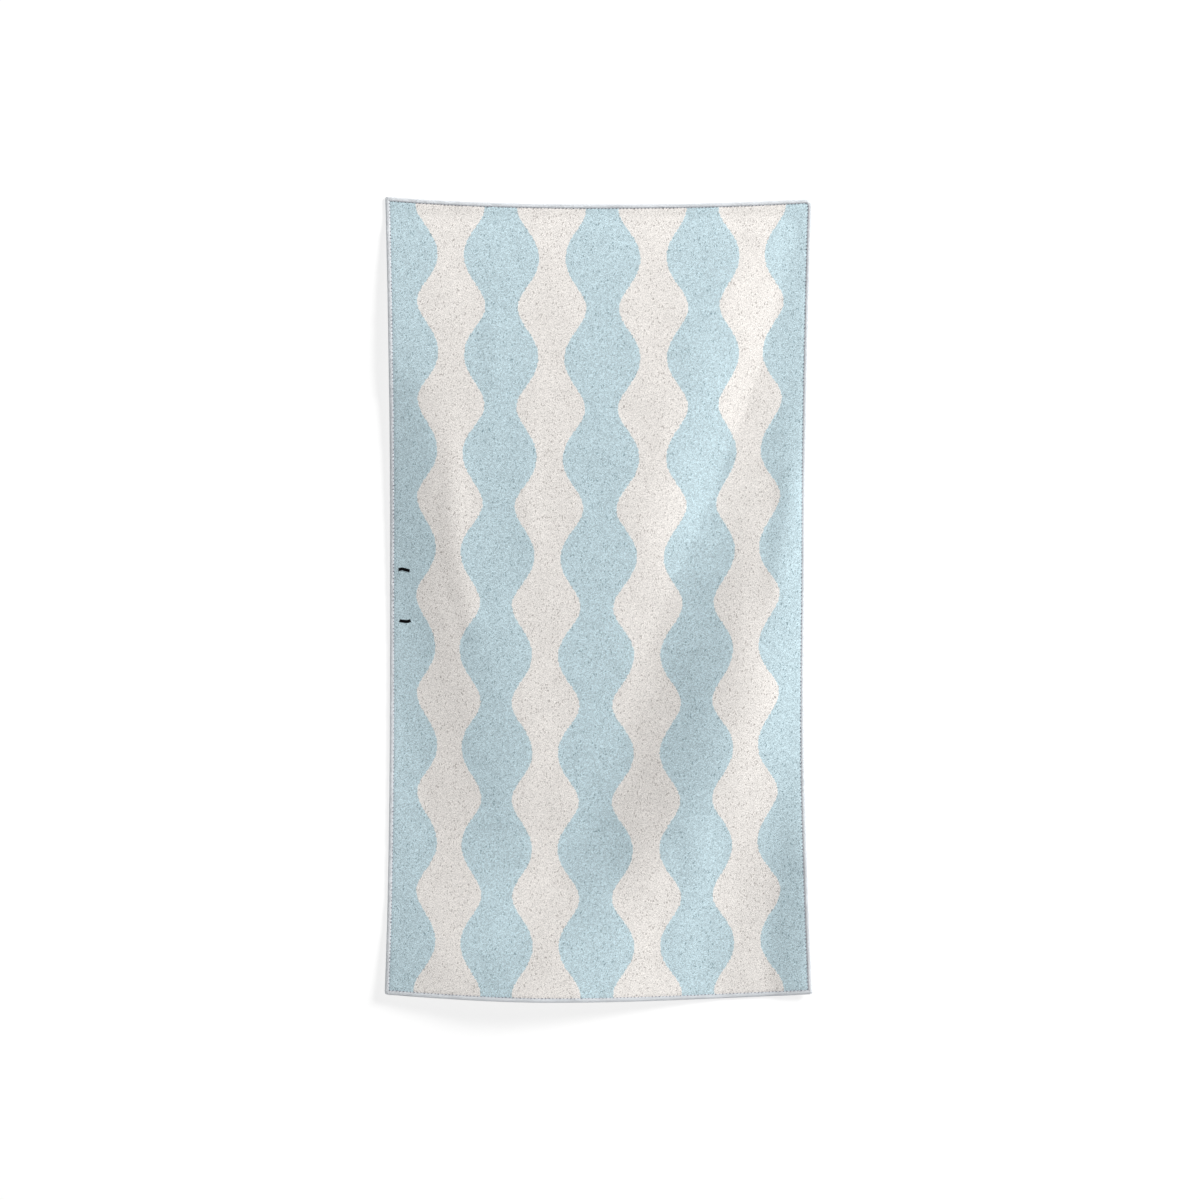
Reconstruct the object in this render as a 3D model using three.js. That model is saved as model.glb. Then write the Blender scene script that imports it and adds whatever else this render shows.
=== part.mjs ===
// Sports towel: one cut length of short-pile towelling, 400 x 740 mm when flat, lying
// face up with two broad rises, a slanting crease between them and a lifted bottom edge.
// Millimetres, +X to the right, +Y to the top edge, +Z up, standing on z = 0.

import * as THREE from 'three';

// The cloth as it is cut and sewn
const FLAT_WIDTH = 400;
const FLAT_LENGTH = 740;
const THICKNESS = 2.4;
const SHARP_CORNER = 2;
const ROUND_CORNER = 7;
const CLOTH_COLOUR = 0xc6d3d6;
const CLOTH_ROUGHNESS = 0.95;

// How the edges lie, seen from above. Each edge is furthest out at its corners and is
// drawn in, or hangs lower, near its middle.
const LEFT_EDGE = { reach: -197, drawnIn: 5, middle: 0, curve: 2.5 };
const RIGHT_EDGE = { reach: 197, drawnIn: -7, middle: -60, curve: 2 };
const TOP_EDGE = { middle: 364, leftCorner: 7, rightCorner: 5, curve: 2.3 };
const BOTTOM_EDGE = { middle: -370, leftCorner: 6, rightCorner: 6, curve: 2.2 };
const HALF_REACH = 197;
const HALF_LENGTH = 370;
const MIDDLE_SAG = 8;

// The broad rise on the left. It starts at foot, is up at shoulder, has its rim above
// the crease, and falls to the crease within fall, down to floor.
const LEFT_RISE = table(
  ['y', 'foot', 'shoulder', 'height', 'rim', 'crease', 'fall', 'floor'],
  [380, -500, -150, 0, 0, 196, 40, 0],
  [358, -500, -150, 0.4, 0.4, 194, 44, 0],
  [336, -500, -150, 3.6, 4, 190, 54, 0],
  [310, -500, -148, 6.4, 7, 183, 68, 0],
  [265, -480, -144, 9.6, 10.2, 171, 82, 0],
  [222, -380, -142, 11.4, 12, 158, 88, 0],
  [182, -255, -138, 12.4, 13, 144, 84, 0],
  [127, -228, -134, 13.2, 13.6, 120, 76, 0.4],
  [100, -224, -132, 13.2, 13.5, 108, 70, 1.6],
  [72, -220, -128, 13, 13.1, 96, 64, 4],
  [45, -218, -123, 12.6, 12.4, 84, 58, 6.8],
  [17, -216, -116, 12, 11.6, 73, 56, 8.2],
  [-38, -210, -98, 11, 10.2, 51, 60, 8.4],
  [-93, -204, -80, 9.8, 8.6, 33, 66, 7.4],
  [-148, -192, -68, 8, 6.6, 7, 60, 5.8],
  [-204, -182, -66, 4.8, 4.4, -17, 46, 4],
  [-259, -178, -78, 1.6, 1.4, -36, 40, 1.3],
  [-314, -174, -84, 0, 0, -50, 42, 0],
  [-380, -172, -94, 0, 0, -54, 42, 0],
);

// The rise on the right of the crease: a small ridge by the right edge at the top,
// a high hump at two thirds of the length, and a low wave towards the bottom edge.
const RIGHT_RISE = table(
  ['y', 'crest', 'height', 'leftWidth', 'rightWidth'],
  [228, 184, 0, 16, 30],
  [164, 184, 2.8, 34, 40],
  [118, 184, 5.2, 54, 50],
  [90, 184, 8.2, 78, 56],
  [54, 182, 11.4, 98, 62],
  [17, 172, 13.2, 106, 74],
  [-38, 146, 14, 104, 92],
  [-93, 131, 14.6, 102, 92],
  [-148, 109, 14.6, 101, 88],
  [-204, 79, 13.2, 96, 80],
  [-259, 44, 13.2, 94, 98],
  [-300, 10, 12.4, 98, 130],
  [-380, -56, 8.5, 112, 190],
);

// The lower right corner and the middle of the bottom edge, which lift off the surface
const LIFTED_CORNER = table(
  ['y', 'crest', 'height', 'leftWidth', 'rightWidth'],
  [-175, 196, 0, 28, 20],
  [-212, 196, 3, 38, 20],
  [-250, 196, 6, 44, 20],
  [-304, 196, 6.5, 50, 20],
  [-380, 196, 5.5, 55, 20],
);
const LIFTED_END = table(
  ['y', 'crest', 'height', 'leftWidth', 'rightWidth'],
  [-215, -76, 0, 140, 220],
  [-255, -82, 3, 144, 224],
  [-290, -88, 8.6, 150, 232],
  [-325, -94, 14.6, 164, 240],
  [-380, -100, 20, 190, 250],
);

// How soft the crease and the first lift off the surface are
const CREASE_ROUNDING = 0.1;
const CREASE_STEEPNESS = 2.1;
const RIM_START = 0.7;
const FLOOR_END = 260;
const FLOOR_RUN = 140;
const LIFT_SOFTNESS = 1.2;
const TOUCHING = 1;

// The grid: cells are narrower towards the two long edges, where the folds are tight
const COLUMNS = 34;
const ROWS = 52;
const EDGE_CROWDING = 0.35;
const WALK_STEPS = 400;

function table(names, ...rows) {
  const columns = {};
  names.forEach((name, k) => {
    columns[name] = rows.map((row) => row[k]);
  });
  return columns;
}

// Slope of a column at row i that never overshoots its neighbours
function rowSlope(ys, values, i) {
  const last = ys.length - 1;
  const before = i > 0 ? (values[i] - values[i - 1]) / (ys[i] - ys[i - 1]) : null;
  const after = i < last ? (values[i + 1] - values[i]) / (ys[i + 1] - ys[i]) : null;
  if (before === null) return after;
  if (after === null) return before;
  if (before * after <= 0) return 0;
  return (2 * before * after) / (before + after);
}

// One column of a table at y, smoothly from row to row; rows run from top to bottom
function columnAt(columns, name, y) {
  const ys = columns.y;
  const values = columns[name];
  const last = ys.length - 1;
  if (y >= ys[0]) return values[0];
  if (y <= ys[last]) return values[last];
  let i = 0;
  while (y < ys[i + 1]) i += 1;
  const step = ys[i + 1] - ys[i];
  const t = (y - ys[i]) / step;
  const startSlope = rowSlope(ys, values, i) * step;
  const endSlope = rowSlope(ys, values, i + 1) * step;
  return (
    values[i] * (1 + 2 * t) * (1 - t) ** 2 +
    startSlope * t * (1 - t) ** 2 +
    values[i + 1] * t * t * (3 - 2 * t) +
    endSlope * t * t * (t - 1)
  );
}

function rowAt(columns, y) {
  const row = {};
  for (const name of Object.keys(columns)) row[name] = columnAt(columns, name, y);
  return row;
}

function clamp01(t) {
  return Math.min(1, Math.max(0, t));
}

function ease(t) {
  const u = clamp01(t);
  return u * u * (3 - 2 * u);
}

// 1 in the crease, steepest beside it, 0 one fall away
function creaseDrop(t) {
  const soft = Math.hypot(t, CREASE_ROUNDING) - CREASE_ROUNDING;
  const full = Math.hypot(1, CREASE_ROUNDING) - CREASE_ROUNDING;
  return clamp01(1 - soft / full) ** CREASE_STEEPNESS;
}

function ridge(row, x) {
  const away = x - row.crest;
  const t = away < 0 ? -away / row.leftWidth : away / row.rightWidth;
  return t < 1 ? row.height * Math.cos((Math.PI / 2) * t) ** 2 : 0;
}

function leftRise(row, x) {
  const toCrease = row.crease - x;
  const rimStart = row.crease - RIM_START * row.fall;
  const top = row.height + (row.rim - row.height) * ease((x - row.shoulder) / (rimStart - row.shoulder));
  const drop = creaseDrop(Math.max(0, toCrease) / row.fall);
  const beforeCrease = top * (1 - drop) + row.floor * drop;
  const pastCrease = row.floor * ease((FLOOR_END - x) / FLOOR_RUN);
  const level = toCrease > 0 ? beforeCrease : pastCrease;
  return level * ease((x - row.foot) / (row.shoulder - row.foot));
}

// Rows of all four tables at one y, worked out once for a whole line across the cloth
function foldsAt(y) {
  return {
    left: rowAt(LEFT_RISE, y),
    ridges: [RIGHT_RISE, LIFTED_CORNER, LIFTED_END].map((rows) => rowAt(rows, y)),
  };
}

// Height of the underside: flat on the surface wherever the folds leave it there
function undersideAt(folds, x) {
  let z = leftRise(folds.left, x);
  for (const row of folds.ridges) z += ridge(row, x);
  const soft = 0.5 * (z + Math.hypot(z, LIFT_SOFTNESS));
  return Math.max(0, soft - TOUCHING);
}

function sideEdge(edge, y) {
  const span = y > edge.middle ? HALF_LENGTH - edge.middle : HALF_LENGTH + edge.middle;
  const away = Math.min(1, Math.abs(y - edge.middle) / span);
  return edge.reach + edge.drawnIn * (1 - away ** edge.curve);
}

function endEdge(edge, x) {
  const away = Math.min(1, Math.abs(x) / HALF_REACH);
  const lift = x < 0 ? edge.leftCorner : edge.rightCorner;
  return edge.middle + lift * away ** edge.curve;
}

// Where along the line across the cloth each of its flat widths comes to lie, so that
// the cloth keeps its width where it climbs a fold
function walkAcross(y) {
  const folds = foldsAt(y);
  const from = sideEdge(LEFT_EDGE, y);
  const to = sideEdge(RIGHT_EDGE, y);
  const step = (to - from) / WALK_STEPS;
  const walked = [0];
  for (let k = 1; k <= WALK_STEPS; k += 1) {
    const rise = undersideAt(folds, from + k * step) - undersideAt(folds, from + (k - 1) * step);
    walked.push(walked[k - 1] + Math.hypot(step, rise));
  }
  return (share) => {
    const goal = share * walked[WALK_STEPS];
    let k = 1;
    while (k < WALK_STEPS && walked[k] < goal) k += 1;
    const part = (goal - walked[k - 1]) / (walked[k] - walked[k - 1]);
    return from + (k - 1 + part) * step;
  };
}

// A place on the flat cloth, from its left and bottom edges, with the corners rounded:
// three of them are nearly sharp, and the top right one is round
function roundedCorner(across, up) {
  const topRight = across > FLAT_WIDTH / 2 && up > FLAT_LENGTH / 2;
  const radius = topRight ? ROUND_CORNER : SHARP_CORNER;
  const nearSide = Math.min(across, FLAT_WIDTH - across);
  const nearEnd = Math.min(up, FLAT_LENGTH - up);
  const a = Math.max(0, radius - nearSide);
  const b = Math.max(0, radius - nearEnd);
  if (a === 0 || b === 0) return { across, up };
  const pull = Math.max(a, b) / Math.hypot(a, b);
  return {
    across: across + (across < FLAT_WIDTH / 2 ? 1 : -1) * a * (1 - pull),
    up: up + (up < FLAT_LENGTH / 2 ? 1 : -1) * b * (1 - pull),
  };
}

// A place on the flat cloth, as it lies: its point on the underside
function layDown(across, up) {
  const place = roundedCorner(across, up);
  const upShare = place.up / FLAT_LENGTH;
  const levelY = HALF_LENGTH * (2 * upShare - 1);
  const x = walkAcross(levelY)(place.across / FLAT_WIDTH);
  const top = endEdge(TOP_EDGE, x);
  const bottom = endEdge(BOTTOM_EDGE, x);
  const away = Math.min(1, Math.abs(x) / HALF_REACH);
  const sag = MIDDLE_SAG * Math.sin(Math.PI * upShare) * (1 - away * away);
  const y = bottom + (top - bottom) * upShare - sag;
  return new THREE.Vector3(x, y, undersideAt(foldsAt(y), x));
}

function crowded(share) {
  return share - (EDGE_CROWDING * Math.sin(2 * Math.PI * share)) / (2 * Math.PI);
}

// The closed sheet: the upper face stands one thickness above the underside
function sheetGeometry() {
  const positions = [];
  const index = [];
  const layer = (COLUMNS + 1) * (ROWS + 1);
  const at = (i, j, upper) => (upper ? layer : 0) + j * (COLUMNS + 1) + i;
  const laid = [];
  for (let j = 0; j <= ROWS; j += 1) {
    for (let i = 0; i <= COLUMNS; i += 1) {
      laid.push(layDown(FLAT_WIDTH * crowded(i / COLUMNS), (FLAT_LENGTH * j) / ROWS));
    }
  }
  for (const p of laid) positions.push(p.x, p.y, p.z);
  for (const p of laid) positions.push(p.x, p.y, p.z + THICKNESS);

  for (let j = 0; j < ROWS; j += 1) {
    for (let i = 0; i < COLUMNS; i += 1) {
      const [a, b, c, d] = [at(i, j, true), at(i + 1, j, true), at(i + 1, j + 1, true), at(i, j + 1, true)];
      index.push(a, b, c, a, c, d);
      index.push(a - layer, c - layer, b - layer, a - layer, d - layer, c - layer);
    }
  }
  const wall = (a, b) => index.push(a, b, b + layer, a, b + layer, a + layer);
  for (let i = 0; i < COLUMNS; i += 1) {
    wall(at(i, 0, false), at(i + 1, 0, false));
    wall(at(i + 1, ROWS, false), at(i, ROWS, false));
  }
  for (let j = 0; j < ROWS; j += 1) {
    wall(at(0, j + 1, false), at(0, j, false));
    wall(at(COLUMNS, j, false), at(COLUMNS, j + 1, false));
  }

  const geometry = new THREE.BufferGeometry();
  geometry.setAttribute('position', new THREE.Float32BufferAttribute(positions, 3));
  geometry.setIndex(index);
  geometry.computeBoundingBox();
  const middle = geometry.boundingBox.getCenter(new THREE.Vector3());
  geometry.translate(-middle.x, -middle.y, 0);
  geometry.computeVertexNormals();
  return geometry;
}

function makeTowel() {
  const material = new THREE.MeshStandardMaterial({
    color: CLOTH_COLOUR,
    roughness: CLOTH_ROUGHNESS,
    metalness: 0,
  });
  const towel = new THREE.Mesh(sheetGeometry(), material);
  towel.name = 'towel';
  return towel;
}

const sportsTowel = new THREE.Group();
sportsTowel.add(makeTowel());

export default sportsTowel;
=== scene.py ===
import bpy
import numpy as np
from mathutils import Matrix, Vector


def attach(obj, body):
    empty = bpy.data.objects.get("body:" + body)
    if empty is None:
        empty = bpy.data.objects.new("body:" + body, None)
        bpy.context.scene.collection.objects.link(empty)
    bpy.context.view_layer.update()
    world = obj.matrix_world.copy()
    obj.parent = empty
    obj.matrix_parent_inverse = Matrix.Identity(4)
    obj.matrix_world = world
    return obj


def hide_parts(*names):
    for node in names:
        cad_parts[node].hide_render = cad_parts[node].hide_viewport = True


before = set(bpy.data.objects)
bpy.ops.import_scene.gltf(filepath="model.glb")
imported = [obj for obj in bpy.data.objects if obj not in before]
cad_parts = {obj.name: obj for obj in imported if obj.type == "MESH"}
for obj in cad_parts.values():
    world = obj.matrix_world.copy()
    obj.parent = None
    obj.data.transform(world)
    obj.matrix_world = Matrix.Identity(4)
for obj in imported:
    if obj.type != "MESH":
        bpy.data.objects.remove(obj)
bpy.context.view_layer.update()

# The towel's cloth. One cut length of short-pile towelling, 400 x 740 mm when flat, woven with
# cream wave stripes on pale blue and plain off-white behind. It lies loose, face up, on its
# surface, and the overlock presses its cut edge thin all round. Sizes are in millimetres.
MM = 0.001
FLAT_WIDTH = 400.0
FLAT_LENGTH = 740.0
SHARP_CORNER = 2.0
ROUND_CORNER = 7.0

# How the edges lie, seen from above, as in the solid
LEFT_EDGE = dict(reach=-197, drawn_in=5, middle=0, curve=2.5)
RIGHT_EDGE = dict(reach=197, drawn_in=-7, middle=-60, curve=2)
TOP_EDGE = dict(middle=364, left_corner=7, right_corner=5, curve=2.3)
BOTTOM_EDGE = dict(middle=-370, left_corner=6, right_corner=6, curve=2.2)
HALF_REACH = 197.0
HALF_LENGTH = 370.0

# The rows of the weave bow: along the middle of the towel they lie lower by the sag, and at its
# long edges higher by the sag times what the hold has over 1
MIDDLE_SAG = 6.0
LEFT_HOLD = 1.6
RIGHT_HOLD = 2.25


def table(names, *rows):
    """Rows of numbers as named columns. A fold's rows run from the top edge to the bottom one."""
    return dict(zip(names.split(), np.array(rows, float).T))


# The broad rise on the left and the slanting crease that ends it
LEFT_RISE = table(
    "y foot shoulder height rim crease fall floor",
    (380, -500, -150, 0, 0, 196, 40, 0),
    (358, -500, -150, 0.4, 0.4, 194, 44, 0),
    (336, -500, -150, 3.6, 4, 190, 54, 0),
    (310, -500, -148, 6.4, 7, 183, 68, 0),
    (265, -480, -144, 9.6, 10.2, 171, 82, 0),
    (222, -380, -142, 11.4, 12, 158, 88, 0),
    (182, -255, -138, 12.4, 13, 144, 84, 0),
    (127, -228, -134, 13.2, 13.6, 120, 76, 0.4),
    (100, -224, -132, 13.2, 13.5, 108, 70, 1.6),
    (72, -220, -128, 13, 13.1, 96, 64, 4),
    (45, -218, -123, 12.6, 12.4, 84, 58, 6.8),
    (17, -216, -116, 12, 11.6, 73, 56, 8.2),
    (-38, -210, -98, 11, 10.2, 51, 60, 8.4),
    (-93, -204, -80, 9.8, 8.6, 33, 66, 7.4),
    (-148, -192, -68, 8, 6.6, 7, 60, 5.8),
    (-204, -182, -66, 4.8, 4.4, -17, 46, 4),
    (-259, -178, -78, 1.6, 1.4, -36, 40, 1.3),
    (-314, -174, -84, 0, 0, -50, 42, 0),
    (-380, -172, -94, 0, 0, -54, 42, 0),
)

# The rise on the right of the crease, the lower right corner, which lifts, and the middle of
# the bottom edge, which lifts too
RIGHT_RISE = table(
    "y crest height left_width right_width",
    (228, 184, 0, 16, 30),
    (164, 184, 2.8, 34, 40),
    (118, 184, 5.2, 54, 50),
    (90, 184, 8.2, 78, 56),
    (54, 182, 11.4, 98, 62),
    (17, 172, 13.2, 106, 74),
    (-38, 146, 14, 104, 92),
    (-93, 131, 14.6, 102, 92),
    (-148, 109, 14.6, 101, 88),
    (-204, 79, 13.2, 96, 80),
    (-259, 44, 13.2, 94, 98),
    (-300, 10, 12.4, 98, 130),
    (-380, -56, 8.5, 112, 190),
)
LIFTED_CORNER = table(
    "y crest height left_width right_width",
    (-175, 196, 0, 28, 20),
    (-212, 196, 3, 38, 20),
    (-250, 196, 6, 44, 20),
    (-304, 196, 6.5, 50, 20),
    (-380, 196, 5.5, 55, 20),
)
LIFTED_END = table(
    "y crest height left_width right_width",
    (-215, -76, 0, 140, 220),
    (-255, -82, 3, 144, 224),
    (-290, -88, 8.6, 150, 232),
    (-325, -94, 14.6, 164, 240),
    (-380, -100, 20, 190, 250),
)

# The crease's rounding and the start of its rim, as shares of the fall, the power that steepens
# its side, where the floor right of it runs out, and how softly the cloth leaves the surface
CREASE_ROUNDING = 0.1
RIM_START = 0.7
CREASE_STEEPNESS = 2.1
FLOOR_END = 260.0
FLOOR_RUN = 140.0
LIFT_SOFTNESS = 1.2
TOUCHING = 1.0

# Soft ridges, and troughs where the height is under zero, along lines that fade
# out at both ends: points seen from above, reach to either side, height
SOFT_CREASES = (
    (((-134, 180), (-133, 45), (-122, -2), (-100, -85)), 18, 0.7),
    (((-66, 190), (-64, 20)), 20, 0.6),
    (((-97, 275), (-96, 180)), 19, 0.8),
    (((178, 140), (176, 85), (171, 50), (163, 15), (154, -20)), 19, 2.0),
    (((96, -190), (92, -240), (78, -300), (62, -345)), 24, 1.2),
)
CREASE_FADE = 0.3

# How the weave has drifted sideways within the cloth, as soft patches that end at its edges
DRIFT_HOLD = 6
WEAVE_DRIFT = table(
    "x y reach_x reach_y shift",
    (84, 235, 75, 125, 3.6),
    (-36, -150, 70, 190, -3.0),
    (0, -190, 260, 240, -2.4),
    (-140, 20, 80, 160, -2.6),
    (78, 105, 60, 85, 2.4),
    (178, -175, 55, 190, -2.0),
    (-30, 330, 90, 80, 1.8),
    (-110, -40, 100, 70, -1.7),
    (75, 50, 50, 55, 1.7),
    (-60, -240, 90, 90, -1.3),
    (40, -360, 250, 60, -1.1),
)

# The cloth's two faces above its underside, from the cut edge inwards: rounded at the cut,
# pressed thin under the overlock, sunk along the needle row, then full pile
PILE_HEIGHT = 2.4
EDGE_PROFILE = table(
    "inset under over",
    (0, 1.2, 1.2),
    (0.06, 0.9, 1.7),
    (0.25, 0.62, 2.02),
    (0.7, 0.45, 2.1),
    (2.6, 0.45, 2.12),
    (4.0, 0.4, 2.05),
    (5.3, 0.15, 2.28),
    (6.8, 0, PILE_HEIGHT),
    (400, 0, PILE_HEIGHT),
)

# Shallow waves of the loose cloth, from a little within its edge: height, radians for each
# millimetre across and along, start
UNEVEN_WAVES = (
    (0.10, 0.118, 0.041, 0.7),
    (0.08, -0.067, 0.093, 2.1),
    (0.06, 0.171, -0.127, 4.0),
    (0.05, 0.049, 0.211, 5.2),
)
UNEVEN_FROM = 8.0

# Ripples that the sewing draws up along the hem: share, millimetres for a radian, start
HEM_RIPPLES = (
    (1.0, 3.7, 0.0),
    (0.6, 5.9, 1.3),
    (0.4, 2.3, 2.9),
)
HEM_RISE = 0.22
HEM_RIPPLE_HEIGHT = 0.11
HEM_REACH = 7.0

# The mesh's lines, close together along the edges, and its cells further in
FINE_LINES = (0, 0.06, 0.25, 0.7, 1.6, 2.6, 3.4, 4.0, 4.6, 5.4, 6.8, 8.6)
CELL = 2.8


def column_at(rows, name, y):
    """A column's value at each y, smooth from row to row and never past its neighbours."""
    levels, values = rows["y"], rows[name]
    secants = np.diff(values) / np.diff(levels)
    before, after = secants[:-1], secants[1:]
    agree = before * after > 0
    inner = np.where(agree, 2 * before * after / np.where(agree, before + after, 1), 0)
    slopes = np.concatenate((secants[:1], inner, secants[-1:]))
    inside = np.clip(y, levels[-1], levels[0])
    above = np.searchsorted(-levels, -inside, side="right") - 1
    above = np.clip(above, 0, levels.size - 2)
    step = levels[above + 1] - levels[above]
    t = (inside - levels[above]) / step
    return (
        values[above] * (1 + 2 * t) * (1 - t) ** 2
        + slopes[above] * step * t * (1 - t) ** 2
        + values[above + 1] * t * t * (3 - 2 * t)
        + slopes[above + 1] * step * t * t * (t - 1)
    )


def ease(t):
    """0 to 1 along t, level at both ends."""
    t = np.clip(t, 0, 1)
    return t * t * (3 - 2 * t)


def crease_drop(t):
    """1 in the crease, steepest beside it, 0 one fall away."""
    soft = np.hypot(t, CREASE_ROUNDING) - CREASE_ROUNDING
    full = np.hypot(1, CREASE_ROUNDING) - CREASE_ROUNDING
    return np.clip(1 - soft / full, 0, 1) ** CREASE_STEEPNESS


def left_rise(x, y):
    """Height of the broad left rise, down into the slanting crease."""
    row = {name: column_at(LEFT_RISE, name, y) for name in LEFT_RISE}
    to_crease = row["crease"] - x
    rim_start = row["crease"] - RIM_START * row["fall"]
    over_the_top = ease((x - row["shoulder"]) / (rim_start - row["shoulder"]))
    top = row["height"] + (row["rim"] - row["height"]) * over_the_top
    drop = crease_drop(np.maximum(0, to_crease) / row["fall"])
    before_crease = top * (1 - drop) + row["floor"] * drop
    past_crease = row["floor"] * ease((FLOOR_END - x) / FLOOR_RUN)
    level = np.where(to_crease > 0, before_crease, past_crease)
    return level * ease((x - row["foot"]) / (row["shoulder"] - row["foot"]))


def ridge(rows, x, y):
    """Height of a rounded ridge whose crest and widths follow a table."""
    away = x - column_at(rows, "crest", y)
    left, right = column_at(rows, "left_width", y), column_at(rows, "right_width", y)
    t = np.clip(np.abs(away) / np.where(away < 0, left, right), 0, 1)
    return column_at(rows, "height", y) * np.cos(np.pi / 2 * t) ** 2


def main_folds(x, y):
    """Height of the underside over the main folds; flat wherever they leave it there."""
    z = left_rise(x, y)
    for rows in (RIGHT_RISE, LIFTED_CORNER, LIFTED_END):
        z = z + ridge(rows, x, y)
    soft = 0.5 * (z + np.hypot(z, LIFT_SOFTNESS))
    return np.maximum(0, soft - TOUCHING)


def near_line(x, y, points):
    """Distance to the nearest point of a line of points, and that point's share of the line."""
    lengths = [np.hypot(x1 - x0, y1 - y0) for (x0, y0), (x1, y1) in zip(points, points[1:])]
    nearest, share, passed = np.full(np.shape(x), np.inf), np.zeros(np.shape(x)), 0
    for (x0, y0), (x1, y1), length in zip(points, points[1:], lengths):
        run = np.clip(((x - x0) * (x1 - x0) + (y - y0) * (y1 - y0)) / length ** 2, 0, 1)
        away = np.hypot(x - x0 - run * (x1 - x0), y - y0 - run * (y1 - y0))
        share = np.where(away < nearest, (passed + run * length) / sum(lengths), share)
        nearest = np.minimum(nearest, away)
        passed += length
    return nearest, share


def soft_creases(x, y):
    """The small folds that the listed lines add."""
    z = np.zeros(np.shape(x))
    for points, reach, height in SOFT_CREASES:
        away, share = near_line(x, y, points)
        fade = ease(share / CREASE_FADE) * ease((1 - share) / CREASE_FADE)
        z += height * fade * np.cos(np.pi / 2 * np.clip(away / reach, 0, 1)) ** 2
    return z


def side_edge(edge, y):
    """Where a long edge lies at y."""
    span = np.where(y > edge["middle"], HALF_LENGTH - edge["middle"], HALF_LENGTH + edge["middle"])
    away = np.minimum(1, np.abs(y - edge["middle"]) / span)
    return edge["reach"] + edge["drawn_in"] * (1 - away ** edge["curve"])


def end_edge(edge, x):
    """Where a short edge lies at x."""
    away = np.minimum(1, np.abs(x) / HALF_REACH)
    lift = np.where(x < 0, edge["left_corner"], edge["right_corner"])
    return edge["middle"] + lift * away ** edge["curve"]


# Where along each level line the cloth's flat widths come to lie, so that it keeps its width
# where it climbs a fold
WALK_LINES = 371
WALK_STEPS = 401
walk_levels = np.linspace(-HALF_LENGTH, HALF_LENGTH, WALK_LINES)
walk_shares = np.linspace(0, 1, WALK_STEPS)
walk_from = side_edge(LEFT_EDGE, walk_levels)[:, None]
walk_to = side_edge(RIGHT_EDGE, walk_levels)[:, None]
walk_line = walk_from + (walk_to - walk_from) * walk_shares
walk_height = main_folds(walk_line, np.broadcast_to(walk_levels[:, None], walk_line.shape))
walked = np.cumsum(np.hypot(np.diff(walk_line, axis=1), np.diff(walk_height, axis=1)), axis=1)
walked = np.concatenate((np.zeros((walk_levels.size, 1)), walked), axis=1)
walk_x = np.array(
    [np.interp(walk_shares, way / way[-1], line) for way, line in zip(walked, walk_line)]
)


def between_four(grid, row, column):
    """Value of a grid between its four nearest entries."""
    i = np.clip(np.floor(row).astype(int), 0, grid.shape[0] - 2)
    j = np.clip(np.floor(column).astype(int), 0, grid.shape[1] - 2)
    down, right = row - i, column - j
    upper = grid[i, j] * (1 - right) + grid[i, j + 1] * right
    lower = grid[i + 1, j] * (1 - right) + grid[i + 1, j + 1] * right
    return upper * (1 - down) + lower * down


def weave_drift(x, y):
    """How far the threads lie to the right of their straight run; the edges stay."""
    shift = 0
    for k, middle in enumerate(WEAVE_DRIFT["x"]):
        patch = {name: column[k] for name, column in WEAVE_DRIFT.items()}
        far = ((x - middle) / patch["reach_x"]) ** 2 + ((y - patch["y"]) / patch["reach_y"]) ** 2
        shift = shift + patch["shift"] * np.exp(-far)
    return shift * np.clip(1 - (x / HALF_REACH) ** DRIFT_HOLD, 0, 1)


def lying_at(across, up):
    """Where places on the flat cloth, from its left and bottom edges, lie seen from above."""
    share = up / FLAT_LENGTH
    row = share * (WALK_LINES - 1)
    column = across / FLAT_WIDTH * (WALK_STEPS - 1)
    x = between_four(walk_x, row, column)
    x = x + weave_drift(x, HALF_LENGTH * (2 * share - 1))
    top = end_edge(TOP_EDGE, x)
    bottom = end_edge(BOTTOM_EDGE, x)
    away = np.minimum(1, np.abs(x) / HALF_REACH)
    held = np.where(x < 0, LEFT_HOLD, RIGHT_HOLD)
    sag = MIDDLE_SAG * np.sin(np.pi * share) * (1 - held * away * away)
    return x, bottom + (top - bottom) * share - sag


def corner_radius(across, up):
    """Radius of the nearest corner: three are nearly sharp, the top right one is round."""
    top_right = (across > FLAT_WIDTH / 2) & (up > FLAT_LENGTH / 2)
    return np.where(top_right, ROUND_CORNER, SHARP_CORNER)


def into_corner(across, up):
    """How far a place is past the start of its corner's turn, both ways, and the radius."""
    radius = corner_radius(across, up)
    a = np.maximum(0, radius - np.minimum(across, FLAT_WIDTH - across))
    b = np.maximum(0, radius - np.minimum(up, FLAT_LENGTH - up))
    return a, b, radius


def rounded_corner(across, up):
    """The same places once the corners are cut round."""
    a, b, _ = into_corner(across, up)
    corner = (a > 0) & (b > 0)
    pull = np.where(corner, np.maximum(a, b) / np.where(corner, np.hypot(a, b), 1), 1)
    across = across + np.where(across < FLAT_WIDTH / 2, 1, -1) * a * (1 - pull)
    up = up + np.where(up < FLAT_LENGTH / 2, 1, -1) * b * (1 - pull)
    return across, up


def inset_at(across, up):
    """How far a place on the flat cloth is from the cut edge."""
    from_side = np.minimum(across, FLAT_WIDTH - across)
    from_end = np.minimum(up, FLAT_LENGTH - up)
    a, b, radius = into_corner(across, up)
    return np.where((a > 0) & (b > 0), radius - np.hypot(a, b), np.minimum(from_side, from_end))


def unevenness(x, y):
    """The loose cloth is never quite level: a few shallow waves in different directions."""
    return sum(
        height * np.sin(turn_x * x + turn_y * y + start)
        for height, turn_x, turn_y, start in UNEVEN_WAVES
    )


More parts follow.
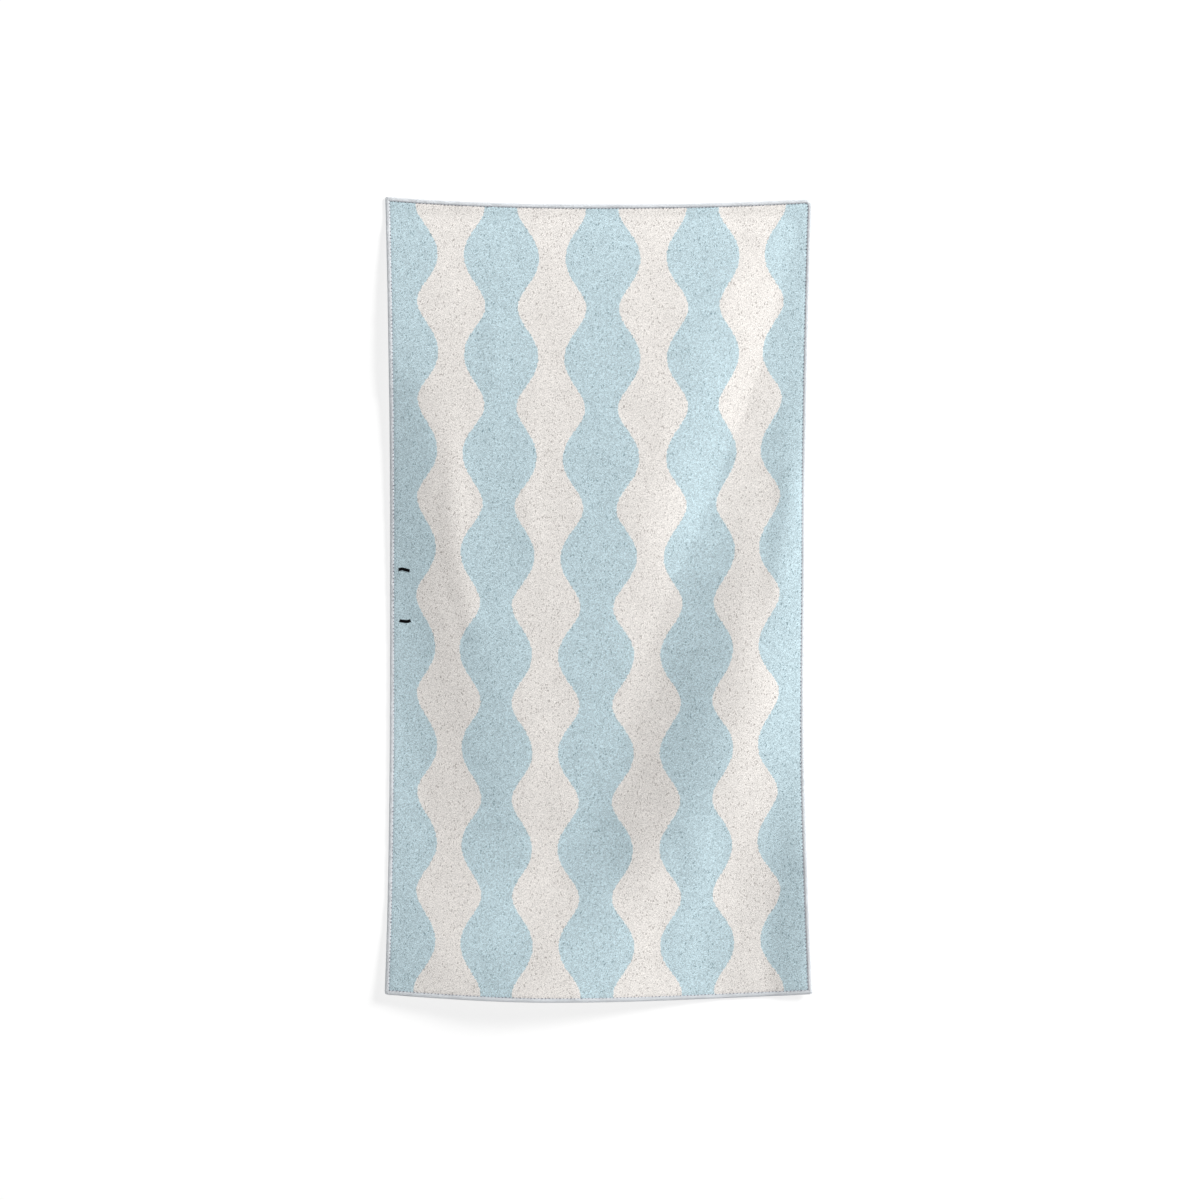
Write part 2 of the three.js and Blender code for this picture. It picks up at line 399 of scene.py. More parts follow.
def hem_pucker(across, up, inset):
    """The sewing draws the edge up in small ripples that fade within the cloth."""
    by_side = np.minimum(across, FLAT_WIDTH - across) < np.minimum(up, FLAT_LENGTH - up)
    along = np.where(by_side, up, across)
    ripple = sum(share * np.sin(along / radian + start) for share, radian, start in HEM_RIPPLES)
    return (HEM_RISE + HEM_RIPPLE_HEIGHT * ripple) * np.exp(-((inset / HEM_REACH) ** 2))


# The middle of the lying outline is at the origin, as in the solid
SIDE_POINTS = np.linspace(0, FLAT_LENGTH, 149)
END_POINTS = np.linspace(0, FLAT_WIDTH, 81)
outline = [(across, up) for across in (0, FLAT_WIDTH) for up in SIDE_POINTS]
outline += [(across, up) for across in END_POINTS for up in (0, FLAT_LENGTH)]
outline_x, outline_y = lying_at(*rounded_corner(*np.array(outline).T))
middle_x = (outline_x.min() + outline_x.max()) / 2
middle_y = (outline_y.min() + outline_y.max()) / 2


def cloth_point(across, up, face="over", lift=0.0):
    """Places on the flat cloth as points in metres on the lying one's "over" or "under" face."""
    inset = inset_at(across, up)
    x, y = lying_at(across, up)
    z = main_folds(x, y) + soft_creases(x, y) + hem_pucker(across, up, inset)
    z = z + np.interp(inset, EDGE_PROFILE["inset"], EDGE_PROFILE[face]) + lift
    if face == "over":
        z = z + unevenness(x, y) * ease(inset / UNEVEN_FROM)
    return np.stack((x - middle_x, y - middle_y, z), axis=-1) * MM


def lines_across(length):
    """Grid lines over one side of the cloth, close together along its two edges."""
    near = np.array(FINE_LINES)
    middle = np.linspace(near[-1], length - near[-1], round((length - 2 * near[-1]) / CELL) + 1)
    return np.concatenate((near[:-1], middle, (length - near[:-1])[::-1]))


def store(layer, label, values):
    """Fills a layer of a mesh with one number or vector for each entry."""
    layer.foreach_set(label, np.asarray(values, np.float32).ravel())


# On the map that the colours can be baked to, the back lies to the right of the face
PICTURE_SHARE = (0.49, 0.9)
PICTURE_MARGIN = (0.005, 0.05)
BACK_START = 0.5


def cloth_mesh():
    """The closed sheet: the patterned face and the back, meeting round the cut edge."""
    square_across, square_up = np.meshgrid(lines_across(FLAT_WIDTH), lines_across(FLAT_LENGTH))
    rows, columns = square_across.shape
    across, up = rounded_corner(square_across, square_up)
    over = cloth_point(across, up, "over").reshape(-1, 3)
    under = cloth_point(across, up, "under").reshape(-1, 3)

    # Both faces share the points of the cut edge
    face_index = np.arange(rows * columns).reshape(rows, columns)
    back_index = face_index.copy()
    inner = (slice(1, -1), slice(1, -1))
    inner_points = face_index[inner].ravel()
    numbers = rows * columns + np.arange(inner_points.size)
    back_index[inner] = numbers.reshape(rows - 2, columns - 2)
    points = np.concatenate((over, under[inner_points]))

    def quads(index, *order):
        corners = (index[:-1, :-1], index[:-1, 1:], index[1:, 1:], index[1:, :-1])
        return np.stack([corners[k].ravel() for k in order], axis=-1)

    faces = np.concatenate((quads(face_index, 0, 1, 2, 3), quads(back_index, 0, 3, 2, 1)))
    mesh = bpy.data.meshes.new("towel_cloth")
    mesh.from_pydata(points.tolist(), [], faces.tolist())
    mesh.polygons.foreach_set("use_smooth", np.ones(len(faces), bool))

    flat = np.stack((across.ravel() / FLAT_WIDTH, up.ravel() / FLAT_LENGTH), axis=-1)
    flat = np.concatenate((flat, flat[inner_points]))
    flat_corners = flat[faces.ravel()]
    store(mesh.uv_layers.new(name="flat_cloth").uv, "vector", flat_corners)

    inset = inset_at(across, up).ravel()
    inset = np.concatenate((inset, inset[inner_points]))
    store(mesh.attributes.new("inset", "FLOAT", "POINT").data, "value", inset)
    is_back = np.repeat((0.0, 1.0), len(faces) // 2)
    store(mesh.attributes.new("back", "FLOAT", "FACE").data, "value", is_back)

    side_by_side = flat_corners * PICTURE_SHARE + PICTURE_MARGIN
    side_by_side[:, 0] += BACK_START * np.repeat(is_back, 4)
    store(mesh.uv_layers.new(name="OFBake").uv, "vector", side_by_side)
    mesh.update()
    return mesh


NODE_SPACING = 190


def add(tree, kind, inputs=(), **settings):
    """A node in the tree. Each input is a value, or the output of another node."""
    made = tree.nodes.new(kind)
    made.location.x = NODE_SPACING * len(tree.nodes)
    for name, value in settings.items():
        setattr(made, name, value)
    for name, value in dict(inputs).items():
        if isinstance(value, bpy.types.NodeSocket):
            tree.links.new(value, made.inputs[name])
        else:
            made.inputs[name].default_value = value
    return made


def sum_of(tree, operation, *values):
    """The result of one Math node."""
    return add(tree, "ShaderNodeMath", enumerate(values), operation=operation).outputs[0]


def vector_of(tree, operation, *values):
    """The result of one Vector Math node."""
    return add(tree, "ShaderNodeVectorMath", enumerate(values), operation=operation).outputs[0]


def mixed(tree, share, first, second):
    """One colour going over into another by a share. The numbers are the colour sockets'."""
    made = add(tree, "ShaderNodeMix", {0: share, 6: first, 7: second}, data_type="RGBA")
    return made.outputs[2]


def new_group(name, kind, inputs, outputs):
    """An empty node group with named sockets, its input node and its output node."""
    tree = bpy.data.node_groups.new(name, kind)
    for label, socket, value in inputs:
        made = tree.interface.new_socket(label, in_out="INPUT", socket_type=socket)
        if value is not None:
            made.default_value = value
    for label, socket in outputs:
        tree.interface.new_socket(label, in_out="OUTPUT", socket_type=socket)
    return tree, tree.nodes.new("NodeGroupInput").outputs, tree.nodes.new("NodeGroupOutput").inputs


def towelling_loops():
    """Short pile loops with their own shade and lie; here and there one of dark yarn."""
    tree, given, out = new_group(
        "Towelling loops",
        "ShaderNodeTree",
        [
            ("Place", "NodeSocketVector", None),
            ("Loop Width", "NodeSocketFloat", 0.85),
            ("Loop Length", "NodeSocketFloat", 1.1),
            ("Dark Yarn Share", "NodeSocketFloat", 0.04),
            ("Lean", "NodeSocketFloat", 2.4),
            ("Fibre Width", "NodeSocketFloat", 0.16),
            ("Fibre Length", "NodeSocketFloat", 0.9),
            ("Fibre Relief", "NodeSocketFloat", 0.55),
            ("Gap Start", "NodeSocketFloat", 0.34),
            ("Gap Bottom", "NodeSocketFloat", 0.7),
        ],
        [
            ("Loop Place", "NodeSocketVector"),
            ("Shade", "NodeSocketFloat"),
            ("Dark Yarn", "NodeSocketFloat"),
            ("Gap", "NodeSocketFloat"),
            ("Fibres", "NodeSocketFloat"),
            ("Height", "NodeSocketFloat"),
        ],
    )
    loop_size = add(
        tree,
        "ShaderNodeCombineXYZ",
        {"X": given["Loop Width"], "Y": given["Loop Length"], "Z": 1.0},
    ).outputs[0]
    cells = vector_of(tree, "DIVIDE", given["Place"], loop_size)
    loops = add(
        tree,
        "ShaderNodeTexVoronoi",
        {"Vector": cells, "Scale": 1.0, "Randomness": 0.9},
        voronoi_dimensions="2D",
    )
    chance = add(tree, "ShaderNodeSeparateColor", {0: loops.outputs["Color"]})
    dark = sum_of(tree, "LESS_THAN", chance.outputs[1], given["Dark Yarn Share"])
    loop_place = vector_of(tree, "MULTIPLY", loops.outputs["Position"], loop_size)

    # The loops lean on one another, so the fibres of each run their own way, near the pile's
    either_way = sum_of(tree, "SUBTRACT", chance.outputs[2], 0.5)
    lean = sum_of(tree, "MULTIPLY", either_way, given["Lean"])
    turned = add(
        tree,
        "ShaderNodeVectorRotate",
        {"Vector": given["Place"], "Center": loop_place, "Angle": lean},
        rotation_type="Z_AXIS",
    ).outputs[0]
    fibre_size = add(
        tree,
        "ShaderNodeCombineXYZ",
        {"X": given["Fibre Width"], "Y": given["Fibre Length"], "Z": 1.0},
    ).outputs[0]
    fibre_place = vector_of(tree, "DIVIDE", turned, fibre_size)
    fibres = add(
        tree,
        "ShaderNodeTexNoise",
        {"Vector": fibre_place, "Scale": 1.0, "Detail": 1.0},
        noise_dimensions="2D",
    ).outputs[0]

    # A loop is a dome about its middle, and its fibres stand up from it
    from_middle = loops.outputs["Distance"]
    # The gap mask marks where the material paints shade between the loops
    gap = add(
        tree,
        "ShaderNodeMapRange",
        {"Value": from_middle, "From Min": given["Gap Start"], "From Max": given["Gap Bottom"]},
        interpolation_type="SMOOTHSTEP",
    ).outputs[0]
    dome = sum_of(tree, "SUBTRACT", 1.0, sum_of(tree, "MULTIPLY", from_middle, from_middle))
    height = sum_of(tree, "MULTIPLY_ADD", fibres, given["Fibre Relief"], dome)
    tree.links.new(loop_place, out["Loop Place"])
    tree.links.new(chance.outputs[0], out["Shade"])
    tree.links.new(dark, out["Dark Yarn"])
    tree.links.new(gap, out["Gap"])
    tree.links.new(fibres, out["Fibres"])
    tree.links.new(height, out["Height"])
    return tree


def wave_stripes():
    """Mirrored wave stripes, widest at both ends of the cloth."""
    tree, given, out = new_group(
        "Wave stripes",
        "ShaderNodeTree",
        [
            ("Place", "NodeSocketVector", None),
            ("First Column", "NodeSocketFloat", 60.0),
            ("Column Pitch", "NodeSocketFloat", 94.3),
            ("First Wide Row", "NodeSocketFloat", 6.4),
            ("Wave Length", "NodeSocketFloat", 91.14),
            ("Half Width", "NodeSocketFloat", 21.5),
            ("Swell", "NodeSocketFloat", 9.9),
            ("Sharpness", "NodeSocketFloat", 0.64),
        ],
        [("Stripe", "NodeSocketFloat")],
    )
    place = add(tree, "ShaderNodeSeparateXYZ", {0: given["Place"]}).outputs
    from_first = sum_of(tree, "SUBTRACT", place[0], given["First Column"])
    half_pitch = sum_of(tree, "MULTIPLY", given["Column Pitch"], 0.5)
    other_side = sum_of(tree, "MULTIPLY", half_pitch, -1.0)
    wrapped = sum_of(tree, "WRAP", from_first, half_pitch, other_side)
    from_column = sum_of(tree, "ABSOLUTE", wrapped)

    from_wide = sum_of(tree, "SUBTRACT", place[1], given["First Wide Row"])
    turns = sum_of(tree, "DIVIDE", from_wide, given["Wave Length"])
    phase = sum_of(tree, "MULTIPLY", turns, 2 * np.pi)
    swell = sum_of(tree, "MULTIPLY", sum_of(tree, "COSINE", phase), given["Swell"])
    twice = sum_of(tree, "COSINE", sum_of(tree, "MULTIPLY", phase, 2.0))
    sharp = sum_of(tree, "MULTIPLY", twice, given["Sharpness"])
    half = sum_of(tree, "ADD", given["Half Width"], sum_of(tree, "ADD", swell, sharp))
    tree.links.new(sum_of(tree, "LESS_THAN", from_column, half), out["Stripe"])
    return tree


# Colours of the yarns, how much of the dark ones shows behind, and how far in from the cut edge
# the pale thread covers the cloth
PALE_BLUE = (0.462, 0.582, 0.628, 1)
CREAM = (0.714, 0.685, 0.657, 1)
BACK_WHITE = (0.70, 0.685, 0.655, 1)
DARK_YARN_IN_BLUE = (0.24, 0.33, 0.365, 1)
DARK_YARN_IN_CREAM = (0.42, 0.39, 0.37, 1)
DARK_YARN_BEHIND = 0.3
THREAD_COVER = (0.70, 0.73, 0.76, 1)
COVER_REACH = 4.3
COVER_SOFTNESS = 0.6

# How much the shade varies from loop to loop, along the nap, in broad patches and from fibre
# to fibre, where it is partly painted shade of the fibres' relief, and the painted light on a
# loop's top and painted shade in the gap beside it
LOOP_VARIETY_IN_BLUE = 0.38
LOOP_VARIETY_IN_CREAM = 0.22
NAP_VARIETY = 0.07
NAP_STRETCH = (0.8, 0.3, 0)
PATCH_VARIETY = 0.06
PATCH_SCALE = 0.035
FIBRE_TONE_AND_PAINTED_SHADE = 0.36
PAINTED_LOOP_TOP_LIGHT = 1.1
PAINTED_GAP_SHADE = 0.8
LEAST_ROUGHNESS = 0.86
ROUGHNESS_VARIETY = 0.1


def varied(tree, value, variety):
    """A shade that a value from 0 to 1 varies evenly about 1."""
    return sum_of(tree, "MULTIPLY_ADD", value, variety, 1 - variety / 2)


def towelling_material():
    """Jacquard towelling: every loop is wholly cream or blue, so the stripe's border is stepped."""
    material = bpy.data.materials.new("towelling")
    material.use_nodes = True
    tree = material.node_tree
    cloth = tree.nodes["Principled BSDF"]
    flat = add(tree, "ShaderNodeUVMap", uv_map="flat_cloth")
    place = vector_of(tree, "MULTIPLY", flat.outputs[0], (FLAT_WIDTH, FLAT_LENGTH, 0))
    back = add(tree, "ShaderNodeAttribute", attribute_name="back").outputs["Fac"]

    pile = add(tree, "ShaderNodeGroup", node_tree=towelling_loops())
    tree.links.new(place, pile.inputs["Place"])
    stripe = add(tree, "ShaderNodeGroup", node_tree=wave_stripes())
    tree.links.new(pile.outputs["Loop Place"], stripe.inputs["Place"])
    is_cream = stripe.outputs["Stripe"]

    face = mixed(tree, is_cream, PALE_BLUE, CREAM)
    dark = mixed(tree, is_cream, DARK_YARN_IN_BLUE, DARK_YARN_IN_CREAM)
    face = mixed(tree, pile.outputs["Dark Yarn"], face, dark)
    faint = sum_of(tree, "MULTIPLY", pile.outputs["Dark Yarn"], DARK_YARN_BEHIND)
    plain = mixed(tree, faint, BACK_WHITE, DARK_YARN_IN_CREAM)
    colour = mixed(tree, back, face, plain)

    # Shade of each loop, of the nap that lies along the cloth, and of broad worn patches
    nap_place = vector_of(tree, "MULTIPLY", place, NAP_STRETCH)
    nap = add(
        tree,
        "ShaderNodeTexNoise",
        {"Vector": nap_place, "Scale": 1.0, "Detail": 2.0},
        noise_dimensions="2D",
    ).outputs[0]
    patches = add(
        tree,
        "ShaderNodeTexNoise",
        {"Vector": place, "Scale": PATCH_SCALE, "Detail": 3.0},
        noise_dimensions="2D",
    ).outputs[0]
    less_in_cream = LOOP_VARIETY_IN_CREAM - LOOP_VARIETY_IN_BLUE
    variety = sum_of(tree, "MULTIPLY_ADD", is_cream, less_in_cream, LOOP_VARIETY_IN_BLUE)
    off_middle = sum_of(tree, "SUBTRACT", pile.outputs["Shade"], 0.5)
    by_loop = sum_of(tree, "MULTIPLY_ADD", off_middle, variety, 1.0)
    by_nap = varied(tree, nap, NAP_VARIETY)
    by_patch = varied(tree, patches, PATCH_VARIETY)
    # Fibre tone that brightens where the bump raises the fibres: partly painted shade of their
    # relief
    by_fibre_tone_and_shade = varied(tree, pile.outputs["Fibres"], FIBRE_TONE_AND_PAINTED_SHADE)
    # Painted shade: the colour darkens into the gaps between loops and lightens on their tops
    painted_gap_darkening = PAINTED_GAP_SHADE - PAINTED_LOOP_TOP_LIGHT
    by_painted_gap_shade = sum_of(tree, "MULTIPLY_ADD", pile.outputs["Gap"], painted_gap_darkening, PAINTED_LOOP_TOP_LIGHT)
    shade = sum_of(tree, "MULTIPLY", by_loop, sum_of(tree, "MULTIPLY", by_nap, by_patch))
    shade = sum_of(tree, "MULTIPLY", shade, sum_of(tree, "MULTIPLY", by_painted_gap_shade, by_fibre_tone_and_shade))
    shaded = vector_of(tree, "SCALE", colour)
    tree.links.new(shade, shaded.node.inputs["Scale"])

    # Along the cut edge the fluffed overlock thread hides the cloth
    inset = add(tree, "ShaderNodeAttribute", attribute_name="inset").outputs["Fac"]
    cover = sum_of(tree, "DIVIDE", sum_of(tree, "SUBTRACT", COVER_REACH, inset), COVER_SOFTNESS)
    cover = add(tree, "ShaderNodeClamp", {0: cover}).outputs[0]
    tree.links.new(mixed(tree, cover, shaded, THREAD_COVER), cloth.inputs["Base Color"])

    bump = add(
        tree,
        "ShaderNodeBump",
        {"Height": pile.outputs["Height"], "Strength": 0.6, "Distance": 0.00035},
    )
    tree.links.new(bump.outputs[0], cloth.inputs["Normal"])
    loop_shade = pile.outputs["Shade"]
    rough = sum_of(tree, "MULTIPLY_ADD", loop_shade, ROUGHNESS_VARIETY, LEAST_ROUGHNESS)
    tree.links.new(rough, cloth.inputs["Roughness"])
    cloth.inputs["Specular IOR Level"].default_value = 0.2
    cloth.inputs["Sheen Weight"].default_value = 0.12
    cloth.inputs["Sheen Roughness"].default_value = 0.45
    return material


towel_cloth = bpy.data.objects.new("towel_cloth", cloth_mesh())
bpy.context.scene.collection.objects.link(towel_cloth)
towel_cloth.data.materials.append(towelling_material())
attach(towel_cloth, "root")
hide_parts("towel")

# The overlock. Pale spun polyester thread that a three-thread machine winds over the cut edge:
# one looper thread zigzags on the face and one on the back, meeting at the cut, and the grey
# needle thread runs in short stitches along the inner ends of their loops. Its dark grey is
# partly its own colour and partly painted shade of the needle holes it sinks into.
LOOP_LENGTH = 1.18
WINDING_MIDDLE = 1.85
WINDING_SWING = 2.0
LOOPER_THREAD = 0.6
LOOPER_LIFT = 0.2
STITCH_LENGTH = 3.3
NEEDLE_INSET = 4.0
NEEDLE_THREAD = 0.9
NEEDLE_DEPTH = 0.52
NEEDLE_RISE = 1.0

# The guide lines: their smallest turn at a corner, the points of that turn, their spacing along
# the edges, and how far in from them the cloth's slope gives the way that the thread swings
SMALLEST_TURN = 1.0
CORNER_POINTS = 13
GUIDE_SPACING = 2.0
SWING_FROM = 1.0
SWING_TO = 4.0


def round_the_cloth(inset):
    """Places on the flat cloth all round it at one distance from the edge, and which way is in."""
    sharp = max(SHARP_CORNER, inset + SMALLEST_TURN)
    round_one = max(ROUND_CORNER, inset + SMALLEST_TURN)
    corners = (
        (FLAT_WIDTH, 0, sharp),
        (FLAT_WIDTH, FLAT_LENGTH, round_one),
        (0, FLAT_LENGTH, sharp),
        (0, 0, sharp),
    )
    places, inwards = [], []
    for quarter, (across, up, turn) in enumerate(corners):
        middle = np.array((abs(across - turn), abs(up - turn)))
        start = 90 * (quarter - 1)
        for angle in np.radians(np.linspace(start, start + 90, CORNER_POINTS)):
            out = np.array((np.cos(angle), np.sin(angle)))
            places.append(middle + (turn - inset) * out)
            inwards.append(-out)
        next_across, next_up, next_turn = corners[(quarter + 1) % 4]
        run = abs(next_across - across) + abs(next_up - up) - turn - next_turn
        along = np.array((inwards[-1][1], -inwards[-1][0]))
        from_here = places[-1]
        for step in np.arange(GUIDE_SPACING, run, GUIDE_SPACING):
            places.append(from_here + along * step)
            inwards.append(inwards[-1])
    return np.array(places), np.array(inwards)


def edge_guide(inset, face, lift):
    """A line round the cloth with its swing way, inwards along the cloth, and its lift way."""
    places, inwards = round_the_cloth(inset)
    points = cloth_point(*places.T, face, lift)
    inner = cloth_point(*(places + SWING_TO * inwards).T, face, lift)
    outer = cloth_point(*(places + SWING_FROM * inwards).T, face, lift)
    swing = inner - outer
    swing /= np.linalg.norm(swing, axis=1, keepdims=True)
    along = np.roll(points, -1, axis=0) - np.roll(points, 1, axis=0)
    upwards = np.cross(swing, along)
    upwards *= np.sign(upwards[:, 2:]) * (1 if face == "over" else -1)
    upwards /= np.linalg.norm(upwards, axis=1, keepdims=True)
    return points, swing, upwards, True


def guide_object(name, lines):
    """Guide lines as one object, with the two ways stored on their points."""
    mesh = bpy.data.meshes.new(name)
    edges, start = [], 0
    for points, _, _, closed in lines:
        count = len(points)
        edges += [(start + k, start + k + 1) for k in range(count - 1)]
        if closed:
            edges.append((start + count - 1, start))
        start += count
    mesh.from_pydata(np.concatenate([line[0] for line in lines]).tolist(), edges, [])
    for label, column in (("swing_way", 1), ("lift_way", 2)):
        ways = np.concatenate([line[column] for line in lines])
        store(mesh.attributes.new(label, "FLOAT_VECTOR", "POINT").data, "vector", ways)
    made = bpy.data.objects.new(name, mesh)
    bpy.context.scene.collection.objects.link(made)
    return made


def sewn_thread():
    """Thread sewn along guide lines: it swings to both sides and dips where it turns."""
    tree, given, out = new_group(
        "Sewn thread",
        "GeometryNodeTree",
        [
            ("Guide", "NodeSocketGeometry", None),
            ("Stitch Length", "NodeSocketFloat", 0.0024),
            ("Points per Stitch", "NodeSocketInt", 8),
            ("Swing", "NodeSocketFloat", 0.001),
            ("Drop Outside", "NodeSocketFloat", 0.0005),
            ("Drop Inside", "NodeSocketFloat", 0.0005),
            ("Drop Sharpness", "NodeSocketFloat", 5.0),
            ("Thread Width", "NodeSocketFloat", 0.0004),
            ("Sides", "NodeSocketInt", 4),
            ("Unevenness", "NodeSocketFloat", 0.08),
            ("Seed", "NodeSocketInt", 1),
            ("Material", "NodeSocketMaterial", None),
        ],
        [("Thread", "NodeSocketGeometry")],
    )
    line = add(tree, "GeometryNodeMeshToCurve", {0: given["Guide"]}).outputs[0]
    length = add(tree, "GeometryNodeSplineLength").outputs["Length"]
    stitches = sum_of(tree, "ROUND", sum_of(tree, "DIVIDE", length, given["Stitch Length"]))
    open_end = sum_of(tree, "SUBTRACT", 1.0, add(tree, "GeometryNodeInputSplineCyclic").outputs[0])
    count = sum_of(tree, "MULTIPLY_ADD", stitches, given["Points per Stitch"], open_end)
    spaced = add(tree, "GeometryNodeResampleCurve", {"Curve": line, "Count": count}, mode="COUNT")

    # Each stitch swings out and back, and drops towards the cloth at the ends of its swing
    index = add(tree, "GeometryNodeSplineParameter").outputs["Index"]
    turn = sum_of(tree, "DIVIDE", index, given["Points per Stitch"])
    way = sum_of(tree, "COSINE", sum_of(tree, "MULTIPLY", turn, 2 * np.pi))
    way = sum_of(tree, "MULTIPLY", way, -1.0)
    chance = add(
        tree,
        "FunctionNodeRandomValue",
        {2: -1.0, 3: 1.0, "ID": sum_of(tree, "FLOOR", turn), "Seed": given["Seed"]},
        data_type="FLOAT",
    ).outputs[1]
    uneven = sum_of(tree, "MULTIPLY_ADD", chance, given["Unevenness"], 1.0)
    reach = sum_of(tree, "MULTIPLY", sum_of(tree, "MULTIPLY", way, given["Swing"]), uneven)
    drop = None
    for side, depth in ((-1.0, "Drop Outside"), (1.0, "Drop Inside")):
        past = sum_of(tree, "MAXIMUM", sum_of(tree, "MULTIPLY", way, side), 0.0)
        near_end = sum_of(tree, "POWER", past, given["Drop Sharpness"])
        part = sum_of(tree, "MULTIPLY", near_end, given[depth])
        drop = part if drop is None else sum_of(tree, "ADD", drop, part)
    downwards = sum_of(tree, "MULTIPLY", sum_of(tree, "MULTIPLY", drop, uneven), -1.0)
    offset = None
    for label, amount in (("swing_way", reach), ("lift_way", downwards)):
        stored = add(
            tree,
            "GeometryNodeInputNamedAttribute",
            {"Name": label},
            data_type="FLOAT_VECTOR",
        )
        part = vector_of(tree, "SCALE", stored.outputs[0])
        tree.links.new(amount, part.node.inputs["Scale"])
        offset = part if offset is None else vector_of(tree, "ADD", offset, part)
    laid = add(tree, "GeometryNodeSetPosition", {"Geometry": spaced.outputs[0], "Offset": offset})

    # The thread's twist needs the place along it and the way round it
    along = add(tree, "GeometryNodeSplineParameter").outputs["Length"]
    marked = add(
        tree,
        "GeometryNodeStoreNamedAttribute",
        {"Geometry": laid.outputs[0], "Name": "along", "Value": along},
        data_type="FLOAT",
        domain="POINT",
    )
    radius = sum_of(tree, "MULTIPLY", given["Thread Width"], 0.5)
    ring = add(
        tree,
        "GeometryNodeCurvePrimitiveCircle",
        {"Resolution": given["Sides"], "Radius": radius},
        mode="RADIUS",
    ).outputs[0]
    ring_place = add(tree, "GeometryNodeInputPosition").outputs[0]
    round_place = vector_of(tree, "NORMALIZE", ring_place)
    ring = add(
        tree,
        "GeometryNodeStoreNamedAttribute",
        {"Geometry": ring, "Name": "round", "Value": round_place},
        data_type="FLOAT_VECTOR",
        domain="POINT",
    ).outputs[0]
    tube = add(
        tree,
        "GeometryNodeCurveToMesh",
        {"Curve": marked.outputs[0], "Profile Curve": ring, "Fill Caps": True},
    )
    real = add(tree, "GeometryNodeRealizeInstances", {"Geometry": tube.outputs[0]})
    dressed = add(
        tree,
        "GeometryNodeSetMaterial",
        {"Geometry": real.outputs[0], "Material": given["Material"]},
    )
    tree.links.new(dressed.outputs[0], out["Thread"])
    return tree


thread_tree = sewn_thread()


def sew(guide, material, **sizes):
    """Runs the thread tree on a guide object and keeps the result as its plain mesh."""
    modifier = guide.modifiers.new("sewing", "NODES")
    modifier.node_group = thread_tree
    sockets = {item.name: item.identifier for item in thread_tree.interface.items_tree}
    for name, value in sizes.items():
        modifier[sockets[name.replace("_", " ")]] = value
    modifier[sockets["Material"]] = material
    evaluated = guide.evaluated_get(bpy.context.evaluated_depsgraph_get())
    mesh = bpy.data.meshes.new_from_object(evaluated)
    guide.modifiers.remove(modifier)
    mesh.name = guide.name
    mesh.polygons.foreach_set("use_smooth", np.ones(len(mesh.polygons), bool))
    guide.data = mesh
    return guide


def thread_twist():
    """Two plies twisted together, seen as slanting turns along the thread."""
    tree, given, out = new_group(
        "Thread twist",
        "ShaderNodeTree",
        [("Turn Length", "NodeSocketFloat", 0.0006)],
        [("Shade", "NodeSocketFloat")],
    )
    along = add(tree, "ShaderNodeAttribute", attribute_name="along").outputs["Fac"]
    ring = add(tree, "ShaderNodeAttribute", attribute_name="round").outputs["Vector"]
    ring = add(tree, "ShaderNodeSeparateXYZ", {0: ring}).outputs
    turn = sum_of(tree, "MULTIPLY", sum_of(tree, "DIVIDE", along, given["Turn Length"]), 2 * np.pi)
    first = sum_of(tree, "MULTIPLY", sum_of(tree, "SINE", turn), ring[0])
    second = sum_of(tree, "MULTIPLY", sum_of(tree, "COSINE", turn), ring[1])
    wave = sum_of(tree, "ADD", first, second)
    tree.links.new(sum_of(tree, "MULTIPLY_ADD", wave, 0.5, 0.5), out["Shade"])
    return tree


twist_group = thread_twist()
FLUFF_SCALE = 420.0
FLUFF_VARIETY = 0.6


def thread_material(name, low, high, turn_length, gloss, sheen):
    """Thread from its colour on a ply's crown to painted shade in the hollow between plies."""
    material = bpy.data.materials.new(name)
    material.use_nodes = True
    tree = material.node_tree
    thread = tree.nodes["Principled BSDF"]
    twist = add(tree, "ShaderNodeGroup", node_tree=twist_group)
    twist.inputs["Turn Length"].default_value = turn_length
    place = add(tree, "ShaderNodeTexCoord").outputs["Object"]
    fluff = add(tree, "ShaderNodeTexNoise", {"Vector": place, "Scale": FLUFF_SCALE, "Detail": 2.0})
    fluffed = sum_of(tree, "MULTIPLY_ADD", fluff.outputs[0], FLUFF_VARIETY, -FLUFF_VARIETY / 2)
    # The twist's hollows darken the colour as painted shade; the fluff varies it at random
    share = sum_of(tree, "ADD", twist.outputs["Shade"], fluffed)
    share = add(tree, "ShaderNodeClamp", {0: share}).outputs[0]
    tree.links.new(mixed(tree, share, low, high), thread.inputs["Base Color"])
    bump = add(
        tree,
        "ShaderNodeBump",
        {"Height": twist.outputs["Shade"], "Strength": 0.5, "Distance": 0.0001},
    )
    tree.links.new(bump.outputs[0], thread.inputs["Normal"])
    thread.inputs["Roughness"].default_value = 0.62
    thread.inputs["Specular IOR Level"].default_value = gloss
    thread.inputs["Sheen Weight"].default_value = sheen
    return material


# Each thread's low colour is painted shade in the hollows of its twist, its high colour its own
pale_thread = thread_material(
    "pale_thread",
    low=(0.68, 0.705, 0.735, 1),
    high=(0.79, 0.815, 0.84, 1),
    turn_length=0.7 * MM,
    gloss=0.35,
    sheen=0.1,
)
